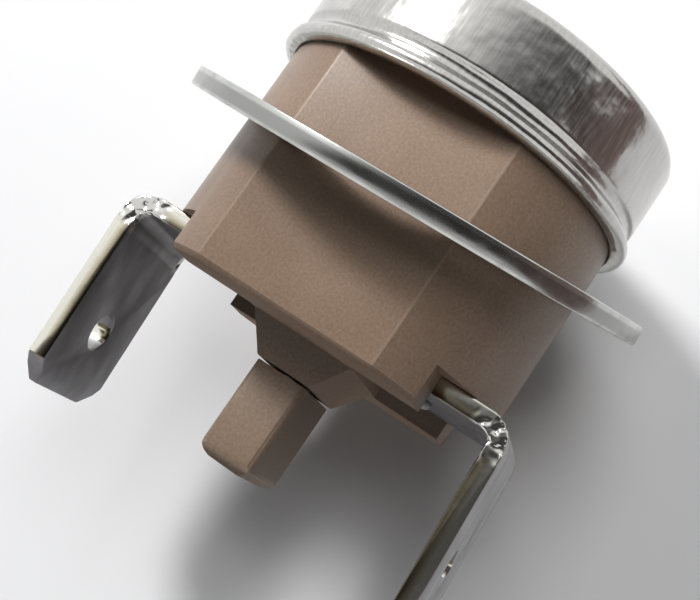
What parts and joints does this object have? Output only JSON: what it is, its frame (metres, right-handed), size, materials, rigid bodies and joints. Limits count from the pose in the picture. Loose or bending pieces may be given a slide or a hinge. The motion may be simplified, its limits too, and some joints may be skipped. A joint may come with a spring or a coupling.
{
  "type": "bimetal thermostat",
  "caption": "Round manual-reset bimetal disc switch: metal sensing cap, moulded housing with flats, loose ring flange, reset button and tab terminals along its axis.",
  "frame": {"origin": "centre of the sensing face, the flat outside of the cap", "axes": "+X along the body's axis from the sensing face to the tabs, +Y through the right tab, +Z out of one flat of the housing"},
  "size_m": [0.0215, 0.0208, 0.0204],
  "materials": {
    "cap_metal": "bright drawn",
    "bimetal": "rolled",
    "moulded_phenolic": "satin moulded",
    "ceramic": "matt",
    "contact_brass": "stamped",
    "contact_silver": "satin",
    "spring_bronze": "rolled",
    "tinned_brass": "dull tinned",
    "pin_steel": "turned",
    "button_phenolic": "satin moulded",
    "flange_sheet": "sheared sheet"
  },
  "bodies": {
    "thermostat_body": {"sensing_cap": "cap_metal", "bimetal_disc": "bimetal", "guide_plate": "moulded_phenolic", "housing": "moulded_phenolic", "fixed_contact_plate": "contact_brass", "fixed_contact": "contact_silver", "arm_support": "contact_brass", "left_terminal": "tinned_brass", "right_terminal": "tinned_brass", "left_rivet": "tinned_brass", "right_rivet": "tinned_brass"},
    "transfer_pin_body": {"transfer_pin": "ceramic"},
    "contact_lever": {"contact_arm": "spring_bronze", "moving_contact": "contact_silver"},
    "button": {"reset_button": "button_phenolic", "reset_pin": "pin_steel"},
    "flange": {"mounting_flange": "flange_sheet"}
  },
  "joints": [
    {"name": "button_slide", "type": "slide", "parent": "thermostat_body", "child": "button", "axis": [1, 0, 0], "range_m": [0, 0.0005]},
    {"name": "pin_slide", "type": "slide", "parent": "thermostat_body", "child": "transfer_pin_body", "axis": [1, 0, 0], "range_m": [0, 0.0005]},
    {"name": "contact_lift", "type": "hinge", "parent": "thermostat_body", "child": "contact_lever", "pos_m": [0.00825, 0.00495, 0], "axis": [0, 0, 1], "range_deg": [0, 5.77]},
    {"name": "flange_swivel", "type": "hinge", "parent": "thermostat_body", "child": "flange", "pos_m": [0.00682, 0, 0], "axis": [1, 0, 0], "continuous": true}
  ],
  "couplings": [
    {"joint": "pin_slide", "follows": "button_slide", "ratio": 1},
    {"joint": "contact_lift", "follows": "button_slide", "rad_per_m": 201.34}
  ]
}
